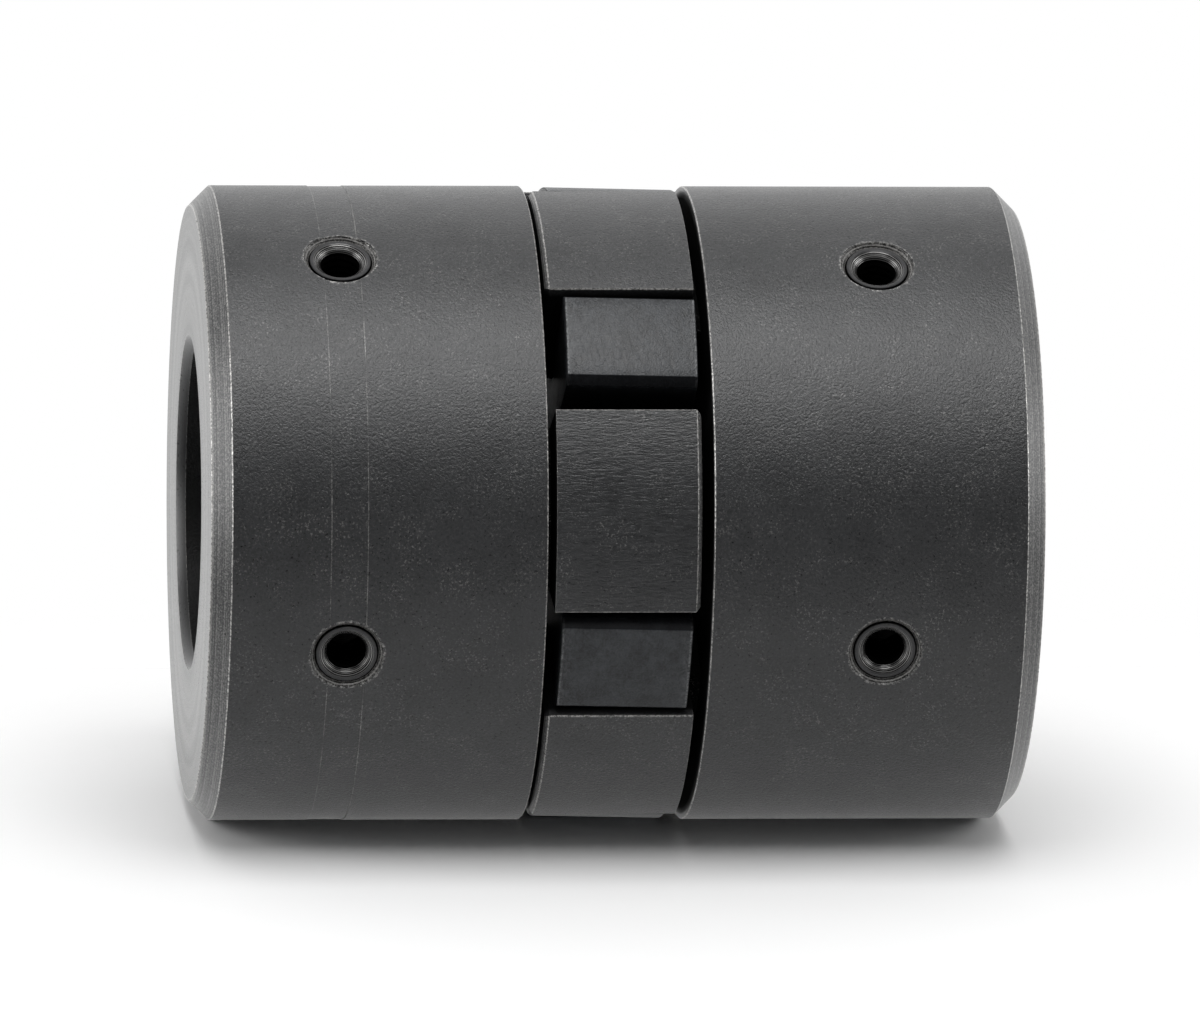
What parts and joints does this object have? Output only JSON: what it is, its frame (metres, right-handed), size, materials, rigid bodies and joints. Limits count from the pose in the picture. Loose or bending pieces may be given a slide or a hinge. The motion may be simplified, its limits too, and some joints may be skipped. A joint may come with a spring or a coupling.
{
  "type": "jaw coupling",
  "caption": "Cylindrical shaft coupling: two blackened steel hubs with interlocking jaws, a rubber spider between the jaws, and socket set screws that clamp each bore to its shaft.",
  "frame": {"origin": "centre of the lower hub's end face, on the axis of rotation", "axes": "+Z along the axis from the lower hub to the upper hub; the middle of the lower hub's front jaw and the line between two upper jaws face -Y"},
  "size_m": [0.0636, 0.0636, 0.0825],
  "materials": {
    "blackened_steel": "satin black oxide",
    "black_rubber": "smooth satin",
    "screw_steel": "satin black oxide"
  },
  "bodies": {
    "root": {"lower_hub": "blackened_steel", "upper_hub": "blackened_steel", "spider": "black_rubber", "lower_set_screw_a": "screw_steel", "lower_set_screw_b": "screw_steel", "upper_set_screw_a": "screw_steel", "upper_set_screw_b": "screw_steel"}
  },
  "joints": []
}
